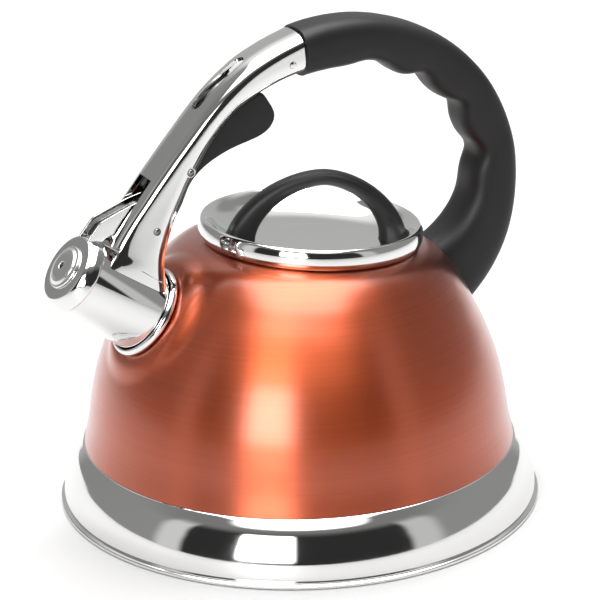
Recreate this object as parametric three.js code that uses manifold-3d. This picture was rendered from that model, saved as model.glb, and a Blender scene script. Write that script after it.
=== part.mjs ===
// Stovetop whistling kettle, in millimetres, +Z up.
// The origin is the centre of the flat base's underside, and the handle lies in the XZ plane:
// the spout points to -X and the handle's foot stands on the +X shoulder.
import * as THREE from "three";
import { mergeVertices } from "three/addons/utils/BufferGeometryUtils.js";
import Module from "manifold-3d";

const wasm = await Module();
wasm.setup();

// ---- driving dimensions ---------------------------------------------------------------------

const GAP = 0.3; // clearance between touching pieces
const ROUND = 20; // facets round a small turned piece
const SPOUT_ROUND = 36; // facets round the spout and its whistle
const BODY_ROUND = 48; // facets round the body, base and lid

// The copper dome: [height, outer radius] up to the lid's seat, and its sheet thickness.
const DOME = [
  [28.0, 98.3], [40.0, 95.9], [53.0, 93.8], [65.0, 90.9], [76.0, 86.8], [86.0, 81.8],
  [96.0, 75.8], [104.0, 70.3], [110.5, 65.2], [115.6, 59.4], [119.3, 50.7],
];
const DOME_WALL = 1.3;
const NECK = { outer: 46.7, inner: 45.4, top: -7.4 }; // upright edge of the filling hole
const SEAT_BLEND = { from: 70, to: 116 }; // heights between which the dome leans to the lid

// The lid leans towards the handle's foot. Heights below are along its own axis from its ridge.
const LID = { x: 8.0, z: 129.9, tilt: 4.2, ridge: 48.2, rim: 50.7, drop: 9.6 };

// The spout's axis, and the places along it.
const SPOUT = {
  x: -70, z: 96.2, rise: 36.5,
  inside: -1.5, mouth: 44.0, // ends of the tube
  rootRadius: 19.3, mouthRadius: 17.0, wall: 1.2,
  seat: 3.6, flat: 22.5, blend: 33, // flattened seat pressed in the dome
};

const BASE = { rim: 110, skirtTop: 98.7, skirtTopZ: 27.6, disc: 105 };

// Handle: a loop drawn by distances from this point.
const LOOP = { x: 46, z: 148 };
const GRIP_WIDTH = 12.4; // half width
const FINGERS = [99, 70.5, 37, 3]; // angles of the finger hollows
const FINGER_DEPTH = 3.6;
const FINGER_SPREAD = 8.6;

const ARM_WALL = 1.8;
const TRIGGER_PIN = { x: -55.2, z: 163.7, radius: 1.5 };
const WHISTLE_PIN = { x: -72.4, z: 139.9, radius: 1.6 };
const LINK_STUD = { x: -66.0, z: 147.0, radius: 1.5 };
const LEVER_HALF = 5.0;
const TRIGGER_HALF = 8.0;
const RUNNING = 0.08; // radial play of a turning pin

// ---- materials ------------------------------------------------------------------------------

const MATERIALS = {
  copper: [0xb5532a, 0.3, 0.9],
  polished: [0xd9dadb, 0.08, 1.0],
  steel: [0xa9abad, 0.35, 1.0],
  aluminium: [0xb9bbbd, 0.5, 0.9],
  black: [0x242325, 0.55, 0.0],
  seal: [0x6e7073, 0.7, 0.0],
};

const group = new THREE.Group();
group.name = "whistling_kettle";

function add(name, material, geometry) {
  const [color, roughness, metalness] = MATERIALS[material];
  const mesh = new THREE.Mesh(geometry, new THREE.MeshStandardMaterial({ color, roughness, metalness }));
  mesh.name = name;
  group.add(mesh);
}

// ---- solids ---------------------------------------------------------------------------------

const UP = new THREE.Vector3(0, 0, 1);
const SIDE = new THREE.Vector3(0, 1, 0);

function radians(degrees) {
  return (degrees * Math.PI) / 180;
}

// Welds a geometry's corners, and turns it right side out if its volume comes out negative.
function closed(geometry) {
  const plain = new THREE.BufferGeometry();
  plain.setAttribute("position", geometry.getAttribute("position"));
  plain.setIndex(geometry.getIndex());
  const welded = mergeVertices(plain, 1e-4);
  const position = welded.getAttribute("position");
  const index = welded.getIndex().array;
  const corners = [new THREE.Vector3(), new THREE.Vector3(), new THREE.Vector3()];
  const kept = [];
  let volume = 0;
  for (let i = 0; i < index.length; i += 3) {
    const face = [index[i], index[i + 1], index[i + 2]];
    if (face[0] === face[1] || face[1] === face[2] || face[0] === face[2]) continue;
    face.forEach((vertex, k) => corners[k].fromBufferAttribute(position, vertex));
    volume += corners[0].dot(corners[1].clone().cross(corners[2]));
    kept.push(face);
  }
  if (volume < 0) kept.forEach((face) => face.reverse());
  welded.setIndex(kept.flat());
  return welded;
}

function toManifold(geometry) {
  return new wasm.Manifold(new wasm.Mesh({
    numProp: 3,
    vertProperties: new Float32Array(geometry.getAttribute("position").array),
    triVerts: new Uint32Array(geometry.getIndex().array),
  }));
}

function fromManifold(solid) {
  const mesh = solid.getMesh();
  const geometry = new THREE.BufferGeometry();
  geometry.setAttribute("position", new THREE.BufferAttribute(new Float32Array(mesh.vertProperties), 3));
  geometry.setIndex(Array.from(mesh.triVerts));
  return geometry;
}

function cut(geometry, ...tools) {
  const solid = tools.reduce((left, tool) => left.subtract(toManifold(tool)), toManifold(geometry));
  return fromManifold(solid);
}

function join(geometry, ...others) {
  const solid = others.reduce((whole, other) => whole.add(toManifold(other)), toManifold(geometry));
  return fromManifold(solid);
}

// A turned solid: [radius, height] points round an axis that leaves `origin` along `axis`.
function turned(points, origin = new THREE.Vector3(), axis = UP, facets = ROUND) {
  const outline = points.map(([radius, height]) => new THREE.Vector2(Math.max(radius, 0), height));
  if (points[0][0] > 0 || points.at(-1)[0] > 0) outline.push(outline[0].clone());
  const geometry = new THREE.LatheGeometry(outline, facets);
  geometry.applyQuaternion(new THREE.Quaternion().setFromUnitVectors(SIDE, axis));
  geometry.translate(origin.x, origin.y, origin.z);
  return closed(geometry);
}

function rod(radius, from, to, facets = ROUND) {
  const axis = to.clone().sub(from);
  const length = axis.length();
  return turned([[0, 0], [radius, 0], [radius, length], [0, length]], from, axis.normalize(), facets);
}

// A pin across the handle plane, from -half to +half.
function crossPin(at, radius, half, facets = ROUND) {
  return rod(radius, new THREE.Vector3(at.x, -half, at.z), new THREE.Vector3(at.x, half, at.z), facets);
}

// The hole for a pin that is fixed in its wall, and the hole for one that turns in it.
function fixedHole(pin) {
  return crossPin(pin, pin.radius + 0.15, 20);
}

function runningHole(pin) {
  return crossPin(pin, pin.radius + RUNNING, 20);
}

// A ring across the handle plane between two widths.
function crossRing(at, inner, outer, low, high) {
  const points = [[inner, low], [outer, low], [outer, high], [inner, high]];
  return turned(points, new THREE.Vector3(at.x, 0, at.z), SIDE);
}

// A flat piece: an outline in the XZ plane, thick from y = low to y = high.
function plate(outline, low, high, bevel = 0) {
  const shape = new THREE.Shape(outline.map(([x, z]) => new THREE.Vector2(x, z)));
  const geometry = new THREE.ExtrudeGeometry(shape, {
    depth: high - low - 2 * bevel,
    bevelEnabled: bevel > 0,
    bevelThickness: bevel,
    bevelSize: bevel,
    bevelOffset: -bevel,
    bevelSegments: 2,
  });
  geometry.rotateX(Math.PI / 2);
  geometry.translate(0, high - bevel, 0);
  return closed(geometry);
}

// A brick from its middle, its three lengths, and its turn about +Y in degrees.
function brick(x, y, z, lengthX, lengthY, lengthZ, turn = 0) {
  const geometry = new THREE.BoxGeometry(lengthX, lengthY, lengthZ);
  geometry.rotateY(radians(turn));
  geometry.translate(x, y, z);
  return closed(geometry);
}

// Skins a row of loops that all have the same number of points. `flat` holds the loop's points
// on paper, for its two end faces. With no `flat` the last loop joins back to the first.
function skinned(loops, flat = null) {
  const count = loops[0].length;
  const positions = loops.flat().flatMap((point) => [point.x, point.y, point.z]);
  const faces = [];
  const last = flat ? loops.length - 1 : loops.length;
  for (let row = 0; row < last; row += 1) {
    const next = (row + 1) % loops.length;
    for (let i = 0; i < count; i += 1) {
      const j = (i + 1) % count;
      faces.push(row * count + i, row * count + j, next * count + j);
      faces.push(row * count + i, next * count + j, next * count + i);
    }
  }
  if (flat) {
    const end = (loops.length - 1) * count;
    for (const [a, b, c] of THREE.ShapeUtils.triangulateShape(flat, [])) {
      faces.push(c, b, a, end + a, end + b, end + c);
    }
  }
  const geometry = new THREE.BufferGeometry();
  geometry.setAttribute("position", new THREE.Float32BufferAttribute(positions, 3));
  geometry.setIndex(faces);
  return closed(geometry);
}

// A rounded oblong, |x|^power + |y|^power = 1, as points on paper.
function oblong(count, power) {
  const points = [];
  for (let i = 0; i < count; i += 1) {
    const angle = (i / count) * 2 * Math.PI;
    const c = Math.cos(angle);
    const s = Math.sin(angle);
    points.push(new THREE.Vector2(
      Math.sign(c) * Math.abs(c) ** (2 / power),
      Math.sign(s) * Math.abs(s) ** (2 / power),
    ));
  }
  return points;
}

function smoothstep(from, to, value) {
  const t = THREE.MathUtils.clamp((value - from) / (to - from), 0, 1);
  return t * t * (3 - 2 * t);
}

// Reads a smooth curve through [key, value] pairs.
function curveThrough(pairs) {
  const curve = new THREE.CatmullRomCurve3(
    pairs.map(([key, value]) => new THREE.Vector3(key, value, 0)), false, "catmullrom", 0.5);
  return (key) => {
    let low = 0;
    let high = 1;
    const rising = pairs.at(-1)[0] > pairs[0][0];
    for (let i = 0; i < 30; i += 1) {
      const middle = (low + high) / 2;
      if ((curve.getPoint(middle).x < key) === rising) low = middle;
      else high = middle;
    }
    return curve.getPoint((low + high) / 2).y;
  };
}

// ---- body -----------------------------------------------------------------------------------

const lidAxis = new THREE.Vector3(Math.sin(radians(LID.tilt)), 0, Math.cos(radians(LID.tilt)));
const lidOrigin = new THREE.Vector3(LID.x, 0, LID.z);
const spoutAxis = new THREE.Vector3(-Math.cos(radians(SPOUT.rise)), 0, Math.sin(radians(SPOUT.rise)));
const spoutOrigin = new THREE.Vector3(SPOUT.x, 0, SPOUT.z);

// One level of the dome. Low levels are level and centred; high ones lean with the lid.
function domeLevel(height, radius) {
  const lean = smoothstep(SEAT_BLEND.from, SEAT_BLEND.to, height);
  const tilt = radians(LID.tilt) * lean;
  const shift = lean * (LID.x + (height - LID.z) * Math.tan(radians(LID.tilt)));
  const level = [];
  for (let i = 0; i < BODY_ROUND; i += 1) {
    const angle = (i / BODY_ROUND) * 2 * Math.PI;
    const along = radius * Math.cos(angle);
    level.push(new THREE.Vector3(
      shift + along * Math.cos(tilt), radius * Math.sin(angle), height - along * Math.sin(tilt)));
  }
  return level;
}

// Presses the flat seat for the spout into a level of the dome.
function pressSeat(level, seat) {
  for (const point of level) {
    const offset = point.clone().sub(spoutOrigin);
    const along = offset.dot(spoutAxis);
    const away = offset.addScaledVector(spoutAxis, -along).length();
    if (along < -SPOUT.blend) continue;
    point.addScaledVector(spoutAxis, (seat - along) * (1 - smoothstep(SPOUT.flat, SPOUT.blend, away)));
  }
  return level;
}

function lidHeightToZ(height) {
  return LID.z + height * lidAxis.z;
}

// The dome's outside as a closed lump, grown by `margin`, for trimming what stands on it.
function domeLump(margin) {
  const levels = DOME.map(([z, radius]) => pressSeat(domeLevel(z, radius + margin), SPOUT.seat + margin));
  const flat = levels[0].map((point) => new THREE.Vector2(point.x, point.y));
  return skinned(levels, flat);
}

function bodyShell() {
  const neckTop = lidHeightToZ(NECK.top);
  const neckFoot = DOME.at(-1)[0];
  const outside = DOME.map(([z, radius]) => pressSeat(domeLevel(z, radius), SPOUT.seat));
  const neck = [
    domeLevel(neckFoot + 0.8, NECK.outer + 0.6),
    domeLevel(neckTop, NECK.outer),
    domeLevel(neckTop, NECK.inner),
    domeLevel(neckFoot - 0.6, NECK.inner),
  ];
  const inside = DOME.slice(0, -1).reverse().map(([z, radius]) => {
    const wall = DOME_WALL * (1 + 0.6 * smoothstep(90, 117, z));
    return pressSeat(domeLevel(z, radius - wall), SPOUT.seat - DOME_WALL);
  });
  const shell = skinned([...outside, ...neck, ...inside]);
  return cut(shell, rod(SPOUT.rootRadius + 0.2, spoutPoint(-12), spoutPoint(12), SPOUT_ROUND));
}

function spoutPoint(along) {
  return spoutOrigin.clone().addScaledVector(spoutAxis, along);
}

function basePan() {
  const { rim, disc, skirtTop, skirtTopZ } = BASE;
  return turned([
    [0, 4.8], [disc + 0.4, 4.8], [disc + 0.4, 0], [rim, 0], [rim, 1.9], [107.8, 2.4], [108.5, 3.3],
    [108.0, 8.5], [106.4, 15.0], [103.6, 21.3], [skirtTop, skirtTopZ], [96.6, skirtTopZ],
    [95.4, 31.5], [94.4, 31.5], [95.2, 27.4], [101.6, 20.6], [105.2, 12.5], [103.6, 6.0], [0, 6.0],
  ], new THREE.Vector3(), UP, BODY_ROUND);
}

function spoutTube() {
  const { inside, mouth, rootRadius, mouthRadius, wall } = SPOUT;
  const radiusAt = (along) => rootRadius + ((mouthRadius - rootRadius) * along) / mouth;
  return turned([
    [radiusAt(inside), inside], [radiusAt(mouth), mouth],
    [radiusAt(mouth) - wall, mouth], [radiusAt(inside) - wall, inside],
  ], spoutOrigin, spoutAxis, SPOUT_ROUND);
}

function spoutCollar() {
  const inner = SPOUT.rootRadius + 0.2;
  return turned([
    [inner, 4.0], [20.5, 4.0], [21.2, 4.7], [21.3, 5.6], [20.9, 6.6], [20.2, 7.2], [inner, 7.3],
  ], spoutOrigin, spoutAxis, SPOUT_ROUND);
}

// The spout tube as a solid cone, grown by `margin`, for trimming the arm's saddle.
function spoutLump(margin) {
  const { rootRadius, mouthRadius, mouth } = SPOUT;
  return turned([
    [0, -10], [rootRadius + margin, 0], [mouthRadius + margin, mouth], [0, mouth + 1],
  ], spoutOrigin, spoutAxis, SPOUT_ROUND);
}

// ---- lid ------------------------------------------------------------------------------------

// The lid is a dish sunk below its ridge: [radius, height] of its top, and its sheet thickness.
const LID_TOP = [
  [0, -10.6], [20, -10.4], [31, -9.9], [37, -8.2], [42, -5.2], [45.8, -1.9], [LID.ridge, -0.3],
];
const LID_SHEET = 0.9;

function lidShell() {
  const under = LID_TOP.slice(0, -1).reverse().map(([radius, height]) => [radius, height - LID_SHEET]);
  const { ridge, rim, drop } = LID;
  const shell = turned([
    ...LID_TOP, [ridge + 1.3, -0.9], [50.4, -2.7], [rim, -4.9], [50.4, -7.2], [49.8, -8.8], [49.2, -drop],
    [48.6, -drop], [48.9, -4.4], [47.8, -2.2], ...under,
  ], lidOrigin, lidAxis, BODY_ROUND);
  return cut(shell, ...LID_SCREWS.map((u) => rod(2.4, lidPoint(u, -16), lidPoint(u, -4))));
}

// The ring under the lid that centres it in the filling hole.
function lidPlug() {
  return turned([[43.2, -6.4], [44.2, -6.4], [44.2, -16], [43.2, -16]], lidOrigin, lidAxis, BODY_ROUND);
}

// The lid's handle stands turned a little from the main handle's plane.
const LID_HANDLE_TURN = -21;
const ARCH = { middle: 3.0, half: 34.5, foot: -11.4, top: 18.9, lean: 0.08, power: 1.76 };
const ARCH_SECTION = { thickTop: 6.8, thickFoot: 13.8, halfTop: 4.9, halfFoot: 5.8 };
const LID_SCREWS = [ARCH.middle - 34.0, ARCH.middle + 34.0];

const lidAcross = new THREE.Vector3(lidAxis.z, 0, -lidAxis.x)
  .applyAxisAngle(lidAxis, radians(LID_HANDLE_TURN));
const lidSide = lidAxis.clone().cross(lidAcross);

function lidPoint(across, height, side = 0) {
  return lidOrigin.clone().addScaledVector(lidAcross, across)
    .addScaledVector(lidAxis, height).addScaledVector(lidSide, side);
}

function lidHandle() {
  const { middle, half, foot, top, lean, power } = ARCH;
  const { thickTop, thickFoot, halfTop, halfFoot } = ARCH_SECTION;
  const stations = 20;
  const bend = [];
  for (let i = 0; i <= stations; i += 1) {
    const angle = (i / stations) * Math.PI;
    const c = Math.cos(angle);
    const rise = (top - foot) * Math.sin(angle) ** (2 / power);
    bend.push([middle - half * Math.sign(c) * Math.abs(c) ** (2 / power) + lean * rise, foot + rise]);
  }
  const flat = oblong(16, 2.5);
  const loops = bend.map(([across, height], i) => {
    const before = bend[Math.max(i - 1, 0)];
    const after = bend[Math.min(i + 1, stations)];
    const ahead = new THREE.Vector2(after[0] - before[0], after[1] - before[1]).normalize();
    if (i === 0) ahead.set(0, 1);
    if (i === stations) ahead.set(0, -1);
    const low = 1 - Math.sin((i / stations) * Math.PI);
    const thick = THREE.MathUtils.lerp(thickTop, thickFoot, low);
    const wide = THREE.MathUtils.lerp(halfTop, halfFoot, low);
    return flat.map((point) => {
      const outward = (point.x * thick) / 2;
      return lidPoint(across - ahead.y * outward, height + ahead.x * outward, point.y * wide);
    });
  });
  const lidLump = turned([
    ...LID_TOP.map(([radius, height]) => [radius, height + 0.2]), [LID.ridge, -14], [0, -14],
  ], lidOrigin, lidAxis, BODY_ROUND);
  const holes = LID_SCREWS.map((u) => rod(1.9, lidPoint(u, -14), lidPoint(u, -2.4), 16));
  return cut(skinned(loops, flat), lidLump, ...holes);
}

function lidScrew(u) {
  return turned([
    [0, -14.4], [3.2, -14.4], [4.0, -13.8], [4.0, -12.5], [1.6, -12.5], [1.6, -3.0], [0, -3.0],
  ], lidPoint(u, 0), lidAxis);
}

function lidWasher(u) {
  return turned([[1.9, -12.2], [5.0, -12.2], [5.0, -11.4], [1.9, -11.4]], lidPoint(u, 0), lidAxis);
}

// ---- chrome arm -----------------------------------------------------------------------------

// Stations down the arm: crown point, lower edge point, half width at the top and at the edge.
const ARM = [
  [-0.2, 217.8, 1.1, 201.4, 12.0, 12.0],
  [-12.2, 213.6, -8.2, 199.2, 12.0, 12.0],
  [-23.6, 208.3, -17.2, 196.0, 12.0, 12.0],
  [-32.6, 202.4, -25.4, 192.2, 12.0, 12.0],
  [-40.0, 196.4, -32.7, 187.7, 12.0, 12.0],
  [-46.3, 190.4, -38.6, 182.2, 12.0, 12.0],
  [-51.9, 184.3, -43.1, 176.9, 12.0, 12.0],
  [-57.3, 178.2, -47.2, 171.5, 12.0, 12.0],
  [-62.6, 172.2, -51.0, 165.5, 12.0, 12.0],
  [-67.7, 166.2, -54.3, 160.3, 12.0, 12.1],
  [-72.9, 160.0, -57.4, 154.8, 12.0, 12.3],
  [-78.2, 153.4, -60.7, 148.6, 12.0, 12.6],
  [-83.8, 146.6, -63.9, 142.0, 12.0, 13.0],
  [-89.0, 139.9, -66.8, 134.5, 12.2, 13.4],
  [-94.0, 133.4, -69.0, 126.5, 12.9, 13.9],
  [-99.6, 129.0, -69.2, 118.5, 14.1, 14.4],
  [-103.4, 122.0, -67.8, 108.5, 14.8, 14.8],
];
const SHOULDER = 5.6; // depth of the rounded shoulder between the crown and a side

// Half of the channel's outside: [share of half width, share of shoulder depth].
const ARM_CROWN = [[1, 1], [0.96, 0.68], [0.85, 0.4], [0.66, 0.18], [0.36, 0.04]];

function armLoop(half, foot, depth) {
  const outer = ARM_CROWN.map(([w, d]) => [half * w, SHOULDER * d]);
  const inner = ARM_CROWN.map(([w, d]) => [(half - ARM_WALL) * w, ARM_WALL + (SHOULDER - 1) * d]);
  const mirrored = (points) => points.map(([w, d]) => [-w, d]);
  return [
    [foot, depth], ...outer, [0, 0], ...mirrored(outer).reverse(), [-foot, depth],
    [ARM_WALL - foot, depth], ...mirrored(inner), [0, ARM_WALL], ...inner.reverse(),
    [foot - ARM_WALL, depth],
  ];
}

function armChannel() {
  const loops = ARM.map(([x, z, edgeX, edgeZ, half, foot]) => {
    const down = new THREE.Vector3(edgeX - x, 0, edgeZ - z);
    const depth = down.length();
    down.normalize();
    return armLoop(half, foot, depth).map(([w, d]) =>
      new THREE.Vector3(x + down.x * d, w, z + down.z * d));
  });
  const [x, z, edgeX, edgeZ, half, foot] = ARM[0];
  const flat = armLoop(half, foot, Math.hypot(edgeX - x, edgeZ - z))
    .map(([w, d]) => new THREE.Vector2(w, -d));
  // Bosses round the trigger's pin, flush with the inside of each wall.
  const [bossInside, bossOutside, bossRadius] = [10.3, 11.9, 3.7];
  const ears = [[-bossOutside, -bossInside], [bossInside, bossOutside]].map(([low, high]) =>
    crossRing(TRIGGER_PIN, TRIGGER_PIN.radius + 0.1, bossRadius, low, high));
  // A round-ended slot through the crown: a brick between two rods, turned with the crown.
  const slotHalf = 3.4;
  const tongueSlot = join(
    brick(-35.6, 0, 198.5, 24, 2 * slotHalf, 30, -41),
    rod(slotHalf, new THREE.Vector3(-36.3, 0, 177), new THREE.Vector3(-54.0, 0, 197.5)),
    rod(slotHalf, new THREE.Vector3(-16.0, 0, 194), new THREE.Vector3(-34.0, 0, 215)));
  const fork = plate([
    [-72.6, 162.1], [-66.9, 155.4], [-80, 138], [-86, 128], [-104, 118], [-106, 150], [-80, 166],
  ], -6.0, 6.0);
  const mouth = plate([[-84, 134.8], [-84, 108], [-110, 108], [-110, 134.8]], -12.0, 12.0);
  const front = plate([
    [-90.6, 133.0], [-95.4, 127.4], [-96.5, 110], [-112, 110], [-112, 133.0],
  ], -20, 20);
  const holes = [TRIGGER_PIN, WHISTLE_PIN, TANG_RIVET].map((pin) => fixedHole(pin));
  const channel = join(skinned(loops, flat), ...ears);
  return cut(channel, tongueSlot, fork, mouth, front, spoutLump(GAP), ...holes);
}

// A strap bent over the spout inside the arm's foot: a ring, less its lower half and its flanks.
function armSaddle() {
  const [start, end] = [13, 25];
  const strap = turned(
    [[17.6, start], [21.4, start], [21.4, end], [17.6, end]], spoutOrigin, spoutAxis, SPOUT_ROUND);
  const below = brick(-90, 0, 96, 90, 60, 40, SPOUT.rise);
  const sides = [-1, 1].map((side) => brick(-84, side * 26.2, 115, 80, 31, 80));
  return cut(strap, spoutLump(GAP), below, ...sides);
}

// ---- grip -----------------------------------------------------------------------------------

// Distances from the loop's point at each angle, in degrees: the grip's outside and its inside.
const crownRadius = curveThrough([
  [126, 85.4], [105, 75.7], [84, 68.2], [60, 63.2], [35, 61.2], [10, 62.4], [-15, 66.4], [-40, 73.4],
  [-68, 81.5],
]);
const keelRadius = curveThrough([
  [136, 69.4], [124, 61.2], [108, 52.4], [83, 43.4], [50, 39.5], [20, 39.2], [-10, 41.4], [-30, 43.3],
  [-68, 42.6],
]);

function loopPoint(angle, radius) {
  return new THREE.Vector2(
    LOOP.x + radius * Math.cos(radians(angle)), LOOP.z + radius * Math.sin(radians(angle)));
}

function fingerHollow(angle) {
  const hollows = FINGERS.map((at) => FINGER_DEPTH * Math.exp(-(((angle - at) / FINGER_SPREAD) ** 2)));
  return hollows.reduce((sum, depth) => sum + depth, 0);
}

function gripLump() {
  const start = 122.6;
  const end = -66;
  const stations = 38;
  const flat = oblong(16, 2.7);
  const loops = [];
  for (let i = 0; i <= stations; i += 1) {
    const angle = start + ((end - start) * i) / stations;
    const swing = 9.5 * Math.max(0, (angle - 95) / (start - 95));
    const crown = loopPoint(angle, crownRadius(angle));
    const keel = loopPoint(angle + swing, keelRadius(angle + swing) + fingerHollow(angle));
    const middle = crown.clone().add(keel).divideScalar(2);
    const reach = crown.clone().sub(keel).divideScalar(2);
    const half = GRIP_WIDTH + 1.4 * smoothstep(0, -60, angle);
    loops.push(flat.map((point) => new THREE.Vector3(
      middle.x + reach.x * point.x, half * point.y, middle.y + reach.y * point.x)));
  }
  return skinned(loops, flat);
}

const TANG = { x: 1.5, z: 208.0, length: 32, width: 12, thick: 5, turn: -7 };
const TANG_RIVET = { x: -5.4, z: 205.0, radius: 1.5 };

// The rear bracket runs out of the dome's shoulder into the grip's foot.
const BRACKET = { x: 78.0, z: 96.0, lean: 45, reach: 15, width: 10, thick: 7 };
const REAR_SCREW = { along: 9, hole: 2.3, headHole: 4.1, headSeat: 12.3 };
const bracketLean = radians(BRACKET.lean);
const bracketAxis = new THREE.Vector3(Math.cos(bracketLean), 0, Math.sin(bracketLean));
const screwAxis = new THREE.Vector3(bracketAxis.z, 0, -bracketAxis.x);

function bracketPoint(along, outward) {
  return new THREE.Vector3(BRACKET.x, 0, BRACKET.z)
    .addScaledVector(bracketAxis, along).addScaledVector(screwAxis, outward);
}

function bracketBrick(margin) {
  const { reach, width, thick, lean } = BRACKET;
  const sunk = 8; // length sunk below the dome's surface
  const middle = bracketPoint((reach - sunk) / 2, 0);
  const grow = 2 * margin;
  return brick(middle.x, 0, middle.z, reach + sunk + grow, width + grow, thick + grow, -lean);
}

function grip() {
  const { x, z, length, width, thick, turn } = TANG;
  const pocket = brick(x, 0, z, length + 2 * GAP, width + 2 * GAP, thick + 2 * GAP, turn);
  const { along, hole, headHole, headSeat } = REAR_SCREW;
  const shank = rod(hole, bracketPoint(along, 0), bracketPoint(along, 30));
  const head = rod(headHole, bracketPoint(along, headSeat), bracketPoint(along, 30), 24);
  return cut(gripLump(), domeLump(0.5), pocket, bracketBrick(GAP), shank, head);
}

function gripTang() {
  const { x, z, length, width, thick, turn } = TANG;
  return cut(brick(x, 0, z, length, width, thick, turn), fixedHole(TANG_RIVET));
}

function rearBracket() {
  const { along, hole } = REAR_SCREW;
  return cut(bracketBrick(0), domeLump(GAP), rod(hole, bracketPoint(along, -8), bracketPoint(along, 8)));
}

function rearScrew() {
  return turned([
    [0, -3.2], [1.9, -3.2], [1.9, 12.6], [3.7, 12.6], [3.7, 14.6], [2.6, 15.2], [0, 15.2],
  ], bracketPoint(REAR_SCREW.along, 0), screwAxis, 24);
}

// ---- trigger --------------------------------------------------------------------------------

function trigger() {
  const body = plate([
    [-51.0, 160.4], [-44.4, 165.4], [-34.7, 169.8], [-25.0, 172.5], [-20.1, 173.9], [-16.3, 175.9],
    [-13.9, 178.4], [-12.6, 181.4], [-12.9, 184.6], [-15.0, 188.6], [-18.7, 193.2], [-25.0, 191.2],
    [-35.0, 187.2], [-43.0, 181.0], [-50.0, 172.6], [-54.6, 167.8], [-58.0, 165.4], [-59.4, 162.6],
    [-62.6, 157.2], [-66.6, 151.6], [-68.9, 146.6], [-66.9, 142.2], [-62.0, 142.6], [-58.2, 148.0],
    [-54.6, 155.6],
  ], -TRIGGER_HALF, TRIGGER_HALF, 1.0);
  const between = brick(-67, 0, 152, 20, 2 * (LEVER_HALF + 0.6), 34);
  const slot = plate(slotOutline(), -12, 12);
  return cut(body, between, slot, runningHole(TRIGGER_PIN));
}

// The open slot in the trigger's nose that carries the stud, along the line from the pin.
function slotOutline() {
  const half = LINK_STUD.radius + 0.55;
  const away = new THREE.Vector2(LINK_STUD.x - TRIGGER_PIN.x, LINK_STUD.z - TRIGGER_PIN.z).normalize();
  const across = new THREE.Vector2(-away.y, away.x);
  const corner = (along, side) => [
    LINK_STUD.x + away.x * along + across.x * side,
    LINK_STUD.z + away.y * along + across.y * side,
  ];
  return [corner(-half, -half), corner(12, -half), corner(12, half), corner(-half, half)];
}

// A torsion spring of round wire beside the trigger.
const SPRING = { radius: 2.7, wireRadius: 0.2, turns: 2.2, from: 8.7, length: 1.0 };

function triggerSpring() {
  const { radius, wireRadius, turns, from, length } = SPRING;
  class Coil extends THREE.Curve {
    getPoint(t) {
      const angle = t * 2 * Math.PI * turns;
      return new THREE.Vector3(
        TRIGGER_PIN.x + radius * Math.cos(angle),
        from + t * length,
        TRIGGER_PIN.z + radius * Math.sin(angle));
    }
  }
  const wire = new THREE.Shape(oblong(5, 2).map((point) => point.multiplyScalar(wireRadius)));
  const path = { steps: 30, extrudePath: new Coil(), bevelEnabled: false };
  return closed(new THREE.ExtrudeGeometry(wire, path));
}

// ---- whistle --------------------------------------------------------------------------------

function whistleLever() {
  const side = [
    [-101.3, 138.4], [-95.4, 145.3], [-87.0, 148.6], [-79.0, 151.5], [-70.5, 153.6], [-65.2, 151.4],
    [-62.9, 147.6], [-64.4, 144.4], [-68.2, 140.6], [-69.0, 137.4], [-72.4, 135.9], [-77.0, 136.6],
    [-85.0, 139.0], [-92.0, 138.6], [-94.3, 137.2], [-96.0, 134.5], [-103.5, 134.0],
  ];
  const web = [
    [-98.9, 136.6], [-93.9, 142.3], [-86.0, 145.4], [-78.0, 148.3], [-77.6, 147.3], [-85.6, 144.4],
    [-93.3, 141.2], [-97.0, 135.0],
  ];
  const channel = join(
    plate(side, LEVER_HALF - 1.2, LEVER_HALF),
    plate(side, -LEVER_HALF, 1.2 - LEVER_HALF),
    plate(web, -LEVER_HALF + 0.5, LEVER_HALF - 0.5));
  return cut(channel, runningHole(WHISTLE_PIN), fixedHole(LINK_STUD), capLump(0.25));
}

const CAP_OUTSIDE = [[18.4, 43.3], [18.4, 44.0], [17.5, 46.8], [16.0, 49.2], [15.0, 50.1]];

function capLump(margin) {
  const grown = CAP_OUTSIDE.map(([radius, along]) => [radius + margin, along]);
  return turned([[0, 43.0], ...grown, [0, 50.1 + margin]], spoutOrigin, spoutAxis, SPOUT_ROUND);
}

function whistleCap() {
  return turned([
    ...CAP_OUTSIDE, [6.3, 50.1], [6.3, 49.1], [14.6, 49.1], [16.4, 46.4], [17.5, 43.9], [17.5, 43.3],
  ], spoutOrigin, spoutAxis, SPOUT_ROUND);
}

function whistleButton() {
  return turned([
    [1.1, 53.0], [5.5, 53.0], [8.0, 52.5], [8.6, 51.7], [9.8, 51.2], [9.8, 50.4], [6.0, 50.4],
    [6.0, 47.6], [1.1, 47.6],
  ], spoutOrigin, spoutAxis, SPOUT_ROUND);
}

function whistlePlate() {
  const points = [[1.1, 47.3], [15.2, 47.3], [15.2, 46.5], [1.1, 46.5]];
  return turned(points, spoutOrigin, spoutAxis, SPOUT_ROUND);
}

function capSeal() {
  const points = [[14.2, 46.2], [15.9, 46.2], [16.4, 44.4], [14.2, 44.4]];
  return turned(points, spoutOrigin, spoutAxis, SPOUT_ROUND);
}

// ---- assembly -------------------------------------------------------------------------------

add("body_shell", "copper", bodyShell());
add("base_pan", "polished", basePan());
add("base_core", "aluminium", turned([[0, 1.3], [104.6, 1.3], [104.6, 4.5], [0, 4.5]],
  new THREE.Vector3(), UP, BODY_ROUND));
add("base_plate", "steel", turned([[0, 0], [104.8, 0], [105, 0.2], [105, 1.0], [0, 1.0]],
  new THREE.Vector3(), UP, BODY_ROUND));
add("spout_tube", "polished", spoutTube());
add("spout_collar", "polished", spoutCollar());

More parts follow.
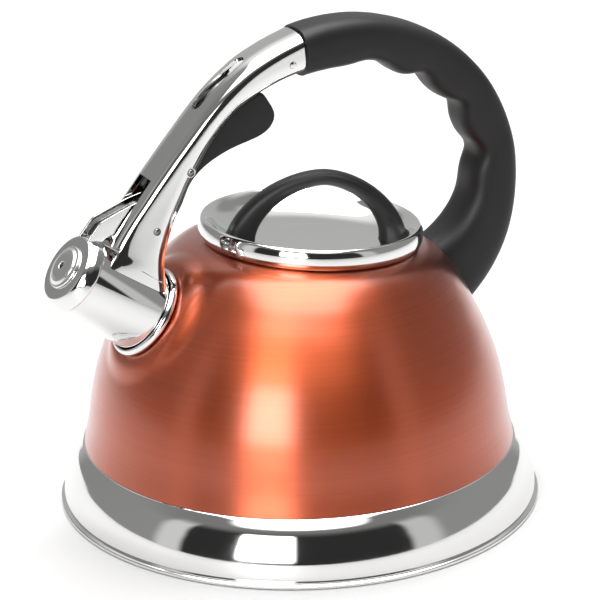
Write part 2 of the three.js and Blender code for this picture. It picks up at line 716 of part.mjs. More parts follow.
add("lid_shell", "polished", lidShell());
add("lid_plug", "steel", lidPlug());
add("lid_handle", "black", lidHandle());
["front", "rear"].forEach((place, i) => {
  add(`lid_screw_${place}`, "steel", lidScrew(LID_SCREWS[i]));
  add(`lid_washer_${place}`, "steel", lidWasher(LID_SCREWS[i]));
});

add("arm_channel", "polished", armChannel());
add("arm_saddle", "steel", armSaddle());
add("grip", "black", grip());
add("grip_tang", "steel", gripTang());
add("tang_rivet", "polished", crossPin(TANG_RIVET, TANG_RIVET.radius, 12.2));
add("rear_bracket", "steel", rearBracket());
add("rear_screw", "steel", rearScrew());

add("trigger", "black", trigger());
add("trigger_pin", "polished", crossPin(TRIGGER_PIN, TRIGGER_PIN.radius, 12.2));
add("trigger_spring", "steel", triggerSpring());

add("whistle_pin", "polished", crossPin(WHISTLE_PIN, WHISTLE_PIN.radius, 13.6));
add("whistle_spacer_left", "steel", crossRing(WHISTLE_PIN, 2.1, 3.4, -10.4, -5.3));
add("whistle_spacer_right", "steel", crossRing(WHISTLE_PIN, 2.1, 3.4, 5.3, 10.4));
add("whistle_lever", "polished", whistleLever());
add("link_stud", "steel", crossPin(LINK_STUD, LINK_STUD.radius, 7.6));
add("whistle_cap", "polished", whistleCap());
add("whistle_button", "polished", whistleButton());
add("whistle_plate", "steel", whistlePlate());
add("cap_seal", "seal", capSeal());

export default group;
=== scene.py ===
import math

import bmesh
import bpy
import numpy as np
from mathutils import Matrix, Vector


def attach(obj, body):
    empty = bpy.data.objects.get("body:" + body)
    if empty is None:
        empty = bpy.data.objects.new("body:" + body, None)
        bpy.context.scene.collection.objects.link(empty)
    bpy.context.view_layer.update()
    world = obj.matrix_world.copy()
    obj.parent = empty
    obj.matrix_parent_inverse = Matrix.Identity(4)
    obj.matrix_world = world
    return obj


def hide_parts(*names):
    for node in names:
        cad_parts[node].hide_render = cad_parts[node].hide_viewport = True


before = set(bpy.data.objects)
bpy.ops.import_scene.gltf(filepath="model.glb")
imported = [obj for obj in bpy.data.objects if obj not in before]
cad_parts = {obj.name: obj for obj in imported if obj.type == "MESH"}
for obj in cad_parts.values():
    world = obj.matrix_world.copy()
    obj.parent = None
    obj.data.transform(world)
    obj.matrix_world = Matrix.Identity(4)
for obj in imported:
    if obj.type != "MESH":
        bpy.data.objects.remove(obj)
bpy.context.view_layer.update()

# Stovetop whistling kettle. Shapes below are in millimetres in the part's own frame: the origin is
# the centre of the flat base, +Z is up, and the handle lies in the XZ plane with the spout to -X.
MM = 0.001
AROUND = 176  # columns round the body, base and lid
AROUND_SPOUT = 128  # columns round the spout and the whistle
AROUND_OTHER = 96  # columns round what gives no count of its own
SHARP = math.radians(36)  # edges that turn more than this stay crisp

LID = dict(x=8.0, z=129.9, tilt=math.radians(4.2))  # the rim's centre, leaning forward
SPOUT = dict(x=-70.0, z=96.2, rise=math.radians(36.5), root=19.3, mouth=17.0, reach=44.0)
TRIGGER_PIN = np.array([-55.2, 0, 163.7])
WHISTLE_PIN = np.array([-72.4, 0, 139.9])
LINK_STUD = np.array([-66.0, 0, 147.0])
TANG_RIVET = np.array([-5.4, 0, 205.0])
REAR_LEAN = math.radians(45)  # the rear screw slopes up and inwards to its bracket
REAR_SEAT = np.array([78.0 + 9 * math.cos(REAR_LEAN), 0, 96.0 + 9 * math.sin(REAR_LEAN)])
LEVER_HALF = 5.0  # half widths across the handle plane
TRIGGER_HALF = 8.0
GRIP_HALF = 12.4
LOOP = (46.0, 148.0)  # the centre, in x and z, that the grip curls round

UP = np.array([0.0, 0.0, 1.0])
SIDE = np.array([0.0, 1.0, 0.0])
LID_AXIS = np.array([math.sin(LID["tilt"]), 0, math.cos(LID["tilt"])])
LID_ORIGIN = np.array([LID["x"], 0, LID["z"]])
SPOUT_AXIS = np.array([-math.cos(SPOUT["rise"]), 0, math.sin(SPOUT["rise"])])
SPOUT_ORIGIN = np.array([SPOUT["x"], 0, SPOUT["z"]])
REAR_AXIS = np.array([math.sin(REAR_LEAN), 0, -math.cos(REAR_LEAN)])


# ---- node helpers for materials ----------------------------------------------------------------

class Shader:
    """A principled material, with short ways to add the nodes that drive its sockets.

    The values given at the start are plain ones; use() links finer ones over them.
    """

    def __init__(self, name, **sockets):
        self.material = bpy.data.materials.new(name)
        self.material.use_nodes = True
        self.tree = self.material.node_tree
        self.principled = self.tree.nodes["Principled BSDF"]
        for key, value in sockets.items():
            if isinstance(value, tuple):
                value = (*value, 1.0)
            self.principled.inputs[key.replace("_", " ")].default_value = value
        self.coordinates = self.add("ShaderNodeTexCoord").outputs["Object"]

    def add(self, kind, **settings):
        """A new node with the given settings."""
        node = self.tree.nodes.new(kind)
        for key, value in settings.items():
            setattr(node, key, value)
        return node

    def link(self, output, socket):
        """Joins an output to a socket."""
        self.tree.links.new(output, socket)

    def noise(self, scale, detail=2.0, stretch=(1, 1, 1), roughness=0.5):
        """A noise value over the surface. Stretch multiplies each axis: (1, 1, 40) gives fine rings."""
        mapping = self.add("ShaderNodeMapping")
        mapping.inputs["Scale"].default_value = stretch
        self.link(self.coordinates, mapping.inputs["Vector"])
        node = self.add("ShaderNodeTexNoise")
        node.inputs["Scale"].default_value = scale
        node.inputs["Detail"].default_value = detail
        node.inputs["Roughness"].default_value = roughness
        self.link(mapping.outputs["Vector"], node.inputs["Vector"])
        return node.outputs["Fac"]

    def remap(self, value, low, high, start=0.3, end=0.7):
        """Spreads a value from start to end over low to high."""
        node = self.add("ShaderNodeMapRange")
        self.link(value, node.inputs["Value"])
        node.inputs["From Min"].default_value = start
        node.inputs["From Max"].default_value = end
        node.inputs["To Min"].default_value = low
        node.inputs["To Max"].default_value = high
        return node.outputs["Result"]

    def blend(self, value, dark, light):
        """A colour between two, chosen by a value."""
        node = self.add("ShaderNodeMix", data_type="RGBA")
        self.link(value, node.inputs["Factor"])
        node.inputs["A"].default_value = (*dark, 1.0)
        node.inputs["B"].default_value = (*light, 1.0)
        return node.outputs["Result"]

    def bump(self, value, strength, distance, before=None):
        """A bumped normal from a height value."""
        node = self.add("ShaderNodeBump")
        node.inputs["Strength"].default_value = strength
        node.inputs["Distance"].default_value = distance
        self.link(value, node.inputs["Height"])
        if before is not None:
            self.link(before, node.inputs["Normal"])
        return node.outputs["Normal"]

    def use(self, **links):
        """Links outputs to the shader's sockets, and gives back the material."""
        for key, output in links.items():
            self.link(output, self.principled.inputs[key.replace("_", " ")])
        return self.material


# ---- materials ---------------------------------------------------------------------------------

def copper_material():
    """Lacquered copper, brushed in fine rings round the body."""
    s = Shader("copper_brushed", Base_Color=(0.50, 0.085, 0.025), Metallic=1.0, Roughness=0.35,
               Coat_Weight=1.0, Coat_Roughness=0.23, Coat_IOR=1.55, Anisotropic=0.85,
               Anisotropic_Rotation=0.25)
    rings = s.noise(9.0, 3.0, (0.6, 0.6, 420))
    streaks = s.noise(16.0, 4.0, (0.5, 0.5, 90))
    clouds = s.noise(14.0, 2.0)
    tone = s.blend(s.remap(streaks, 0.0, 1.0), (0.47, 0.078, 0.022), (0.52, 0.091, 0.028))
    tangent = s.add("ShaderNodeTangent", direction_type="RADIAL", axis="Z")
    fine = s.bump(rings, 0.05, 0.00006)
    return s.use(Base_Color=tone, Roughness=s.remap(clouds, 0.33, 0.38),
                 Normal=s.bump(streaks, 0.02, 0.0001, fine), Tangent=tangent.outputs["Tangent"])


def polished_material():
    """Mirror polished steel with a trace of buffing and handling marks."""
    s = Shader("steel_polished", Base_Color=(0.80, 0.80, 0.79), Metallic=1.0, Roughness=0.06)
    haze = s.noise(35.0, 3.0)
    buffing = s.noise(60.0, 3.0, (1, 1, 6))
    return s.use(Roughness=s.remap(haze, 0.035, 0.085), Normal=s.bump(buffing, 0.03, 0.00008))


def buffed_material():
    """Softly buffed steel on the whistle's button."""
    s = Shader("steel_buffed", Base_Color=(0.78, 0.775, 0.765), Metallic=1.0, Roughness=0.27)
    haze = s.noise(30.0, 3.0)
    mottle = s.noise(40.0, 3.0)
    return s.use(Roughness=s.remap(haze, 0.23, 0.31), Normal=s.bump(mottle, 0.03, 0.0001))


def pin_painted_shade_material():
    """Riveted pin ends of dull steel, with a darkened base colour as painted shade."""
    # Painted shade: the base colour sits far below plain steel so the pins look dark, as their
    # reflections made them look.
    s = Shader("steel_pin_painted_shade", Base_Color=(0.24, 0.24, 0.25), Metallic=1.0, Roughness=0.24)
    grain = s.noise(300.0, 2.0)
    return s.use(Roughness=s.remap(grain, 0.2, 0.3), Normal=s.bump(grain, 0.08, 0.00004))


def steel_material():
    """Plain pressed and drawn steel, with a fine grain."""
    s = Shader("steel_plain", Base_Color=(0.56, 0.56, 0.57), Metallic=1.0, Roughness=0.34)
    grain = s.noise(180.0, 3.0, (1, 5, 1))
    return s.use(Roughness=s.remap(grain, 0.26, 0.42), Normal=s.bump(grain, 0.12, 0.00006))


def base_plate_material():
    """The underside disc, turned in fine rings."""
    s = Shader("steel_turned", Base_Color=(0.60, 0.60, 0.61), Metallic=1.0, Roughness=0.3)
    flat = s.add("ShaderNodeMapping")
    flat.inputs["Scale"].default_value = (1, 1, 0)
    s.link(s.coordinates, flat.inputs["Vector"])
    distance = s.add("ShaderNodeVectorMath", operation="LENGTH")
    s.link(flat.outputs["Vector"], distance.inputs[0])
    turns = s.add("ShaderNodeMath", operation="MULTIPLY")
    turns.inputs[1].default_value = 9000.0
    s.link(distance.outputs["Value"], turns.inputs[0])
    wave = s.add("ShaderNodeMath", operation="SINE")
    s.link(turns.outputs["Value"], wave.inputs[0])
    haze = s.noise(25.0, 3.0)
    rings = s.bump(wave.outputs["Value"], 0.12, 0.00008)
    return s.use(Roughness=s.remap(haze, 0.24, 0.38), Normal=rings)


def aluminium_material():
    """Rolled aluminium with a fine grain along one axis."""
    s = Shader("aluminium_rolled", Base_Color=(0.68, 0.68, 0.69), Metallic=1.0, Roughness=0.42)
    grain = s.noise(120.0, 3.0, (1, 8, 1))
    return s.use(Roughness=s.remap(grain, 0.34, 0.5), Normal=s.bump(grain, 0.1, 0.00008))


def plastic_material():
    """Black heat-resistant plastic with a soft satin skin and a fine moulded grain."""
    s = Shader("plastic_black", Base_Color=(0.009, 0.009, 0.0095), Roughness=0.46,
               Specular_IOR_Level=0.33)
    grain = s.noise(1500.0, 2.0)
    flow = s.noise(30.0, 3.0)
    worn = s.blend(s.remap(flow, 0.0, 1.0), (0.007, 0.007, 0.0075), (0.011, 0.011, 0.0115))
    fine = s.bump(grain, 0.12, 0.00006)
    return s.use(Base_Color=worn, Roughness=s.remap(flow, 0.42, 0.5),
                 Normal=s.bump(flow, 0.04, 0.0006, fine))


def seal_material():
    """Soft grey silicone."""
    s = Shader("seal_silicone", Base_Color=(0.33, 0.34, 0.35), Roughness=0.65, Subsurface_Weight=0.05)
    dust = s.noise(400.0, 2.0)
    return s.use(Roughness=s.remap(dust, 0.55, 0.75), Normal=s.bump(dust, 0.1, 0.00005))


def floor_material():
    """A pale grey sweep with a faint sheen."""
    s = Shader("floor_sweep", Base_Color=(0.30, 0.30, 0.30), Roughness=0.7, Specular_IOR_Level=0.2)
    mottle = s.noise(3.0, 2.0)
    return s.use(Roughness=s.remap(mottle, 0.5, 0.6))


COPPER = copper_material()
POLISHED = polished_material()
BUFFED = buffed_material()
STEEL = steel_material()
PIN = pin_painted_shade_material()
TURNED = base_plate_material()
ALUMINIUM = aluminium_material()
PLASTIC = plastic_material()
SEAL = seal_material()


# ---- mesh helpers ------------------------------------------------------------------------------

def catmull(points, steps, closed=False):
    """A smooth curve through points, with `steps` pieces between each pair."""
    p = np.array(points, float)
    count = len(p)
    spans = count if closed else count - 1
    out = []
    for i in range(spans):
        if closed:
            a, b, c, d = (p[(i + k) % count] for k in (-1, 0, 1, 2))
        else:
            b, c = p[i], p[i + 1]
            a = p[i - 1] if i > 0 else 2 * b - c
            d = p[i + 2] if i + 2 < count else 2 * c - b
        for k in range(steps):
            t = k / steps
            out.append(0.5 * (2 * b + (c - a) * t + (2 * a - 5 * b + 4 * c - d) * t * t
                              + (3 * b - a - 3 * c + d) * t ** 3))
    if not closed:
        out.append(p[-1])
    return np.array(out)


def eased(points, radius, steps=4, closed=True):
    """Rounds each corner of an outline, as far as its two sides allow."""
    p = np.array(points, float)
    count = len(p)
    out = []
    for i in range(count):
        if not closed and i in (0, count - 1):
            out.append(p[i])
            continue
        before, corner, after = p[i - 1], p[i], p[(i + 1) % count]
        first, second = before - corner, after - corner
        reach = min(radius, 0.45 * np.linalg.norm(first), 0.45 * np.linalg.norm(second))
        start = corner + first / np.linalg.norm(first) * reach
        end = corner + second / np.linalg.norm(second) * reach
        for k in range(steps + 1):
            t = k / steps
            out.append((1 - t) ** 2 * start + 2 * t * (1 - t) * corner + t * t * end)
    return np.array(out)


def new_object(name, vertices, faces):
    """A mesh object from points in millimetres, welded, with its faces turned outwards."""
    mesh = bpy.data.meshes.new(name)
    mesh.from_pydata([tuple(v) for v in np.asarray(vertices, float) * MM], [], faces)
    obj = bpy.data.objects.new(name, mesh)
    bpy.context.scene.collection.objects.link(obj)
    tidy(obj)
    return obj


def tidy(obj, weld=1e-7):
    """Welds coincident points, drops empty faces and turns the rest outwards."""
    b = bmesh.new()
    b.from_mesh(obj.data)
    bmesh.ops.remove_doubles(b, verts=b.verts, dist=weld)
    bmesh.ops.dissolve_degenerate(b, edges=b.edges, dist=weld)
    bmesh.ops.recalc_face_normals(b, faces=b.faces)
    b.to_mesh(obj.data)
    b.free()


def skin(name, rings, loop=False):
    """Joins a row of rings with equal counts. An open row gets a face on each end."""
    rings = np.array(rings, float)
    rows, columns = rings.shape[:2]
    faces = []
    for row in range(rows if loop else rows - 1):
        following = (row + 1) % rows
        for i in range(columns):
            j = (i + 1) % columns
            faces.append((row * columns + i, row * columns + j,
                          following * columns + j, following * columns + i))
    if not loop:
        faces.append(tuple(range(columns)))
        faces.append(tuple((rows - 1) * columns + i for i in range(columns)))
    return new_object(name, rings.reshape(-1, 3), faces)


def across(axis):
    """Two directions square to an axis."""
    reference = SIDE if abs(axis[1]) < 0.9 else UP
    first = np.cross(reference, axis)
    first /= np.linalg.norm(first)
    return first, np.cross(axis, first)


def revolve(name, outline, origin=(0, 0, 0), axis=UP, columns=AROUND_OTHER):
    """Turns a closed outline of [radius, height] round an axis. Ends on the axis make a solid."""
    outline = np.array(outline, float)
    solid = outline[0][0] < 1e-6 and outline[-1][0] < 1e-6
    first, second = across(axis)
    angles = np.arange(columns) * 2 * math.pi / columns
    circle = np.cos(angles)[:, None] * first + np.sin(angles)[:, None] * second
    rings = [np.array(origin) + r * circle + h * np.array(axis) for r, h in outline]
    return skin(name, rings, loop=not solid)


def plate(name, outline, low, high, bevel=0.3, steps=3):
    """A flat piece with rounded edges: an outline in the XZ plane, from y = low to y = high."""
    curve = bpy.data.curves.new(name, "CURVE")
    curve.dimensions = "2D"
    curve.fill_mode = "BOTH"
    curve.extrude = ((high - low) / 2 - bevel) * MM
    curve.bevel_depth = bevel * MM
    curve.bevel_resolution = steps
    curve.offset = -bevel * MM
    spline = curve.splines.new("POLY")
    spline.points.add(len(outline) - 1)
    for point, (x, z) in zip(spline.points, outline):
        point.co = (x * MM, z * MM, 0, 1)
    spline.use_cyclic_u = True
    source = bpy.data.objects.new(name + "_curve", curve)
    bpy.context.scene.collection.objects.link(source)
    bpy.context.view_layer.update()
    mesh = bpy.data.meshes.new_from_object(source.evaluated_get(bpy.context.evaluated_depsgraph_get()))
    bpy.data.objects.remove(source)
    mesh.name = name
    middle = (low + high) / 2 * MM
    co = np.empty(len(mesh.vertices) * 3)
    mesh.vertices.foreach_get("co", co)
    co = co.reshape(-1, 3)
    mesh.vertices.foreach_set("co", np.stack([co[:, 0], middle - co[:, 2], co[:, 1]], 1).ravel())
    mesh.materials.clear()
    obj = bpy.data.objects.new(name, mesh)
    bpy.context.scene.collection.objects.link(obj)
    tidy(obj, 2e-7)
    return obj


def prism(name, outline, low, high):
    """A sharp-edged block for cutting."""
    outline = np.array(outline, float)
    rings = [np.stack([outline[:, 0], np.full(len(outline), y), outline[:, 1]], 1) for y in (low, high)]
    return skin(name, rings)


def boolean(obj, tool, operation="DIFFERENCE"):
    """Cuts a piece with a tool, or joins them, and removes the tool."""
    modifier = obj.modifiers.new("cut", "BOOLEAN")
    modifier.operation = operation
    modifier.object = tool
    modifier.solver = "EXACT"
    bpy.context.view_layer.update()
    mesh = bpy.data.meshes.new_from_object(obj.evaluated_get(bpy.context.evaluated_depsgraph_get()))
    obj.modifiers.clear()
    obj.data = mesh
    bpy.data.objects.remove(tool)
    return obj


def finish(obj, material, body, slot, *nodes, sharp=SHARP):
    """Gives a piece its finish, and puts it in place of its CAD nodes."""
    obj.data.materials.clear()
    obj.data.materials.append(material)
    obj.data.polygons.foreach_set("material_index", [0] * len(obj.data.polygons))
    obj.data.polygons.foreach_set("use_smooth", [True] * len(obj.data.polygons))
    obj.data.set_sharp_from_angle(angle=sharp)
    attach(obj, body)
    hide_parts(*nodes)
    return obj


def smoothstep(low, high, value):
    """An eased rise from 0 at low to 1 at high, level beyond them."""
    t = np.clip((value - low) / (high - low), 0, 1)
    return t * t * (3 - 2 * t)


def oblong(count, power):
    """A rounded oblong as unit points."""
    angle = np.arange(count) * 2 * math.pi / count
    c, s = np.cos(angle), np.sin(angle)
    share = 2 / power
    return np.stack([np.sign(c) * abs(c) ** share, np.sign(s) * abs(s) ** share], 1)


# ---- body --------------------------------------------------------------------------------------

# The dome's outline from the foot to the neck, as [height, radius].
DOME = [[28.0, 98.3], [38.0, 96.2], [50.0, 94.3], [61.0, 92.0], [71.0, 88.8], [80.0, 84.9],
        [88.0, 80.6], [96.0, 75.8], [103.0, 71.0], [109.0, 66.5], [114.0, 61.4], [117.2, 56.4],
        [119.3, 50.7]]
DOME_WALL = 1.3
SPOUT_SEAT = 3.6  # how far up the spout's axis its flat seat lies


def dome_ring(height, radius):
    """One level of the dome: level and centred low down, leaning with the lid higher up."""
    lean = smoothstep(70, 116, height)
    tilt = LID["tilt"] * lean
    shift = lean * (LID["x"] + (height - LID["z"]) * math.tan(LID["tilt"]))
    angle = np.arange(AROUND) * 2 * math.pi / AROUND
    along = radius * np.cos(angle)
    return np.stack([shift + along * math.cos(tilt), radius * np.sin(angle),
                     height - along * math.sin(tilt)], 1)


def press_seat(ring, seat):
    """Presses the flat seat for the spout into a level of the dome."""
    offset = ring - SPOUT_ORIGIN
    along = offset @ SPOUT_AXIS
    away = np.linalg.norm(offset - along[:, None] * SPOUT_AXIS, axis=1)
    share = (1 - smoothstep(22.5, 33, away)) * (along > -33)
    return ring + (seat - along)[:, None] * share[:, None] * SPOUT_AXIS


def dome_levels():
    """The dome's outline as a fine row of [height, radius]."""
    return catmull(DOME, 7)


def body_shell():
    """The domed copper shell, with a neck for the lid and a bore for the spout."""
    outside = [press_seat(dome_ring(z, r), SPOUT_SEAT) for z, r in dome_levels()]
    top = LID["z"] - 7.4 * LID_AXIS[2]
    foot = DOME[-1][0]
    neck = [dome_ring(foot + 0.5, 48.6), dome_ring(foot + 1.0, 47.3), dome_ring(foot + 2.0, 46.8),
            dome_ring(top - 0.3, 46.7), dome_ring(top, 46.4), dome_ring(top, 45.7),
            dome_ring(top - 0.3, 45.4), dome_ring(foot - 0.6, 45.4)]
    inside = []
    for z, r in dome_levels()[:-4][::-1]:
        wall = DOME_WALL * (1 + 0.6 * smoothstep(90, 117, z))
        inside.append(press_seat(dome_ring(z, r - wall), SPOUT_SEAT - DOME_WALL))
    shell = skin("body_shell_fine", outside + neck + inside, loop=True)
    bore = revolve("bore", [[0, -12], [19.5, -12], [19.5, 12], [0, 12]], SPOUT_ORIGIN, SPOUT_AXIS)
    return finish(boolean(shell, bore), COPPER, "kettle", "copper", "body_shell")


def base_pan():
    """The polished flared foot and the vessel's floor."""
    flare = catmull([[107.8, 2.6], [108.5, 3.6], [108.3, 6.6], [107.6, 10.6], [106.4, 14.9],
                     [104.8, 18.9], [102.4, 23.3], [98.9, 27.4]], 6)
    outline = [[0, 4.8], [105.4, 4.8], [105.4, 0.2], [105.8, 0], [109.4, 0], [109.9, 0.4], [110, 0.9],
               [109.9, 1.5], [109.4, 1.9], [108.4, 2.1], *flare.tolist(), [98.2, 27.9], [97.0, 27.9],
               [96.4, 28.4], [95.4, 31.5], [94.4, 31.5], [95.2, 27.4], [99.0, 24.2], [101.6, 20.6],
               [103.8, 16.6], [105.2, 12.5], [104.6, 9.0], [103.6, 6.0], [0, 6.0]]
    obj = revolve("base_pan_fine", outline, columns=AROUND)
    return finish(obj, POLISHED, "kettle", "polished", "base_pan")


def base_plate():
    """The steel disc under the core."""
    outline = [[0, 0], [104.4, 0], [104.9, 0.3], [104.9, 0.8], [104.6, 1.0], [0, 1.0]]
    obj = revolve("base_plate_fine", outline, columns=AROUND)
    return finish(obj, TURNED, "kettle", "steel", "base_plate")


def spout_tube():
    """The short conical spout."""
    root, mouth, reach = SPOUT["root"], SPOUT["mouth"], SPOUT["reach"]
    outline = eased([[root + 0.08, -1.5], [mouth, reach], [mouth - 1.2, reach], [root - 1.2, -1.5]],
                    0.5, 3)
    obj = revolve("spout_tube_fine", outline, SPOUT_ORIGIN, SPOUT_AXIS, AROUND_SPOUT)
    return finish(obj, POLISHED, "kettle", "polished", "spout_tube")


def spout_collar():
    """The rolled flange round the spout's root."""
    outline = eased([[19.5, 4.0], [20.5, 4.0], [21.2, 4.6], [21.35, 5.6], [20.9, 6.7], [20.2, 7.3],
                     [19.5, 7.4]], 0.6, 3)
    obj = revolve("spout_collar_fine", outline, SPOUT_ORIGIN, SPOUT_AXIS, AROUND_SPOUT)
    return finish(obj, POLISHED, "kettle", "polished", "spout_collar")


# ---- lid ---------------------------------------------------------------------------------------

# The lid's upper face from its centre to the rim, as [radius, height] from the rim's top.
LID_TOP = [[0, -11.0], [10, -10.9], [20, -10.5], [29, -9.8], [36, -8.2], [42, -5.1], [45.6, -2.0],
           [47.4, -0.7]]
LID_HANDLE_TURN = math.radians(-21)
ARCH = dict(middle=3.0, half=34.5, foot=-11.0, top=18.9, lean=0.08, power=1.76)


def lid_directions():
    """The directions along and across the lid's handle, which sits turned on the lid."""
    flat = np.array([LID_AXIS[2], 0, -LID_AXIS[0]])
    square = np.cross(LID_AXIS, flat)
    along = flat * math.cos(LID_HANDLE_TURN) + square * math.sin(LID_HANDLE_TURN)
    return along, np.cross(LID_AXIS, along)


LID_ALONG, LID_SIDE = lid_directions()


def lid_shell():
    """The dished lid with its rolled rim."""
    dish = catmull(LID_TOP, 6)
    rim = catmull([[47.4, -0.7], [48.2, -0.3], [49.0, -0.5], [49.8, -1.3], [50.4, -2.7], [50.7, -4.5],
                   [50.65, -6.3], [50.3, -7.8], [49.8, -8.8], [49.4, -9.4]], 5)
    under = [[r, h - 0.9] for r, h in LID_TOP[:-1][::-1]]
    outline = [*dish.tolist(), *rim[1:].tolist(), [48.9, -9.6], [48.9, -4.4], [47.8, -2.2], *under]
    obj = revolve("lid_shell_fine", outline, LID_ORIGIN, LID_AXIS, AROUND)
    return finish(obj, POLISHED, "lid", "polished", "lid_shell")


def lid_plug():
    """The ring under the lid that drops into the neck."""
    outline = eased([[43.2, -6.4], [44.2, -6.4], [44.2, -16], [43.2, -16]], 0.3, 2)
    obj = revolve("lid_plug_fine", outline, LID_ORIGIN, LID_AXIS, AROUND)
    return finish(obj, STEEL, "lid", "steel", "lid_plug")


def lid_handle():
    """A hoop with a soft oblong section, thicker at its feet."""
    stations = 110
    turn = np.linspace(0, math.pi, stations + 1)
    exponent = 2 / ARCH["power"]
    rise = (ARCH["top"] - ARCH["foot"]) * np.sin(turn).clip(0) ** exponent
    reach = ARCH["half"] * np.sign(np.cos(turn)) * abs(np.cos(turn)) ** exponent
    path = np.stack([ARCH["middle"] - reach + ARCH["lean"] * rise, ARCH["foot"] + rise], 1)
    ahead = np.gradient(path, axis=0)
    ahead[0], ahead[-1] = (0, 1), (0, -1)
    ahead /= np.linalg.norm(ahead, axis=1)[:, None]
    low = 1 - np.sin(turn)
    thick = 6.8 + (13.8 - 6.8) * low
    wide = 4.9 + (5.8 - 4.9) * low
    section = oblong(40, 2.5)
    rings = []
    for (u, v), (du, dv), t, w in zip(path, ahead, thick, wide):
        out = section[:, 0] * t / 2
        rings.append(LID_ORIGIN + (u - dv * out)[:, None] * LID_ALONG
                     + (v + du * out)[:, None] * LID_AXIS + (section[:, 1] * w)[:, None] * LID_SIDE)
    return finish(skin("lid_handle_fine", rings), PLASTIC, "lid", "black", "lid_handle")


def lid_fixings():
    """A screw and a washer under each foot of the lid's handle."""
    for place, u in (("front", ARCH["middle"] - 34.0), ("rear", ARCH["middle"] + 34.0)):
        at = LID_ORIGIN + u * LID_ALONG
        head = [[0, -14.4], *eased([[3.2, -14.4], [4.0, -13.8], [4.0, -12.5]], 0.4, 3, False).tolist(),
                [1.6, -12.5], [1.6, -3.0], [0, -3.0]]
        washer = eased([[1.9, -12.2], [5.0, -12.2], [5.0, -11.4], [1.9, -11.4]], 0.15, 2)
        for piece, outline in (("lid_screw", head), ("lid_washer", washer)):
            obj = revolve(f"{piece}_{place}_fine", outline, at, LID_AXIS, 40)
            finish(obj, STEEL, "lid", "steel", f"{piece}_{place}")


# ---- chrome arm --------------------------------------------------------------------------------

# Stations down the arm: crown point, lower edge point, half width at the top and at the edge.
ARM = [
    [-0.2, 217.8, 1.1, 201.4, 12.0, 12.0], [-12.2, 213.6, -8.2, 199.2, 12.0, 12.0],
    [-23.6, 208.3, -17.2, 196.0, 12.0, 12.0], [-32.6, 202.4, -25.4, 192.2, 12.0, 12.0],
    [-40.0, 196.4, -32.7, 187.7, 12.0, 12.0], [-46.3, 190.4, -38.6, 182.2, 12.0, 12.0],
    [-51.9, 184.3, -43.1, 176.9, 12.0, 12.0], [-57.3, 178.2, -47.2, 171.5, 12.0, 12.0],
    [-62.6, 172.2, -51.0, 165.5, 12.0, 12.0], [-67.7, 166.2, -54.3, 160.3, 12.0, 12.1],
    [-72.9, 160.0, -57.4, 154.8, 12.0, 12.3], [-78.2, 153.4, -60.7, 148.6, 12.0, 12.6],
    [-83.8, 146.6, -63.9, 142.0, 12.0, 13.0], [-89.0, 139.9, -66.8, 134.5, 12.2, 13.4],
    [-94.0, 133.4, -69.0, 126.5, 12.9, 13.9], [-99.6, 129.0, -69.2, 118.5, 14.1, 14.4],
    [-103.4, 122.0, -67.8, 108.5, 14.8, 14.8],
]
SHOULDER = 5.6
ARM_CROWN = [[1, 1], [0.96, 0.68], [0.85, 0.4], [0.66, 0.18], [0.36, 0.04], [0, 0]]
ARM_WALL = 1.8
ARM_CURL = [[1.9, 0], [1.3, 0.8], [0.78, 1.8], [0.36, 3.0], [0.1, 4.3]]  # the edge's [inwards, up]


def arm_section(half, foot, depth):
    """The channel's section as [across, depth] points, from one lower edge round to the other."""
    share = catmull(ARM_CROWN, 4)
    outer = np.stack([half * share[:, 0], SHOULDER * share[:, 1]], 1)
    inner = np.stack([(half - ARM_WALL) * share[:, 0], ARM_WALL + (SHOULDER - 1) * share[:, 1]], 1)
    curl = np.array([foot, depth]) - np.array(ARM_CURL)
    side = np.concatenate([curl, np.linspace([foot, depth - 5.6], outer[0], 7)[:-1]])
    side_inner = side - [ARM_WALL, 0]
    side_inner[-6:] = np.linspace(side_inner[-6], inner[0], 7)[:-1]
    half_outer = np.concatenate([side, outer])
    half_inner = np.concatenate([side_inner, inner])
    mirror = np.array([-1, 1])
    return np.concatenate([half_outer, (half_outer * mirror)[::-1][1:],
                           half_inner * mirror, half_inner[::-1][1:]])


def cylinder(name, start, end, radius, columns=64):
    """A round bar between two points."""
    start, end = np.array(start, float), np.array(end, float)
    axis = end - start
    length = np.linalg.norm(axis)
    outline = [[0, 0], [radius, 0], [radius, length], [0, length]]
    return revolve(name, outline, start, axis / length, columns)


def cross_hole(at, radius, half=20):
    """A bar across the handle plane, for cutting a pin's hole."""
    return cylinder("hole", [at[0], -half, at[2]], [at[0], half, at[2]], radius)


def spout_lump(margin):
    """The spout as a solid, grown by a margin, for cutting the pieces that clear it."""
    outline = [[0, -10], [SPOUT["root"] + margin, 0], [SPOUT["mouth"] + margin, SPOUT["reach"]],
               [0, SPOUT["reach"] + 1]]
    return revolve("spout_lump", outline, SPOUT_ORIGIN, SPOUT_AXIS, AROUND_SPOUT)


def crown_slot():
    """A round-ended bar square to the arm's crown, for cutting its slot."""
    high, low = np.array([-21.0, 0, 204.6]), np.array([-45.6, 0, 185.0])
    along = (low - high) / np.linalg.norm(low - high)
    inwards = np.array([-along[2], 0, along[0]])
    half = 3.4
    angles = np.linspace(-math.pi / 2, math.pi / 2, 17)
    ends = [low - half * along + half * (np.cos(a) * along + np.sin(a) * SIDE) for a in angles]
    ends += [high + half * along - half * (np.cos(a) * along + np.sin(a) * SIDE) for a in angles]
    ends = np.array(ends)
    return skin("slot", [ends - 9 * inwards, ends + 14 * inwards])


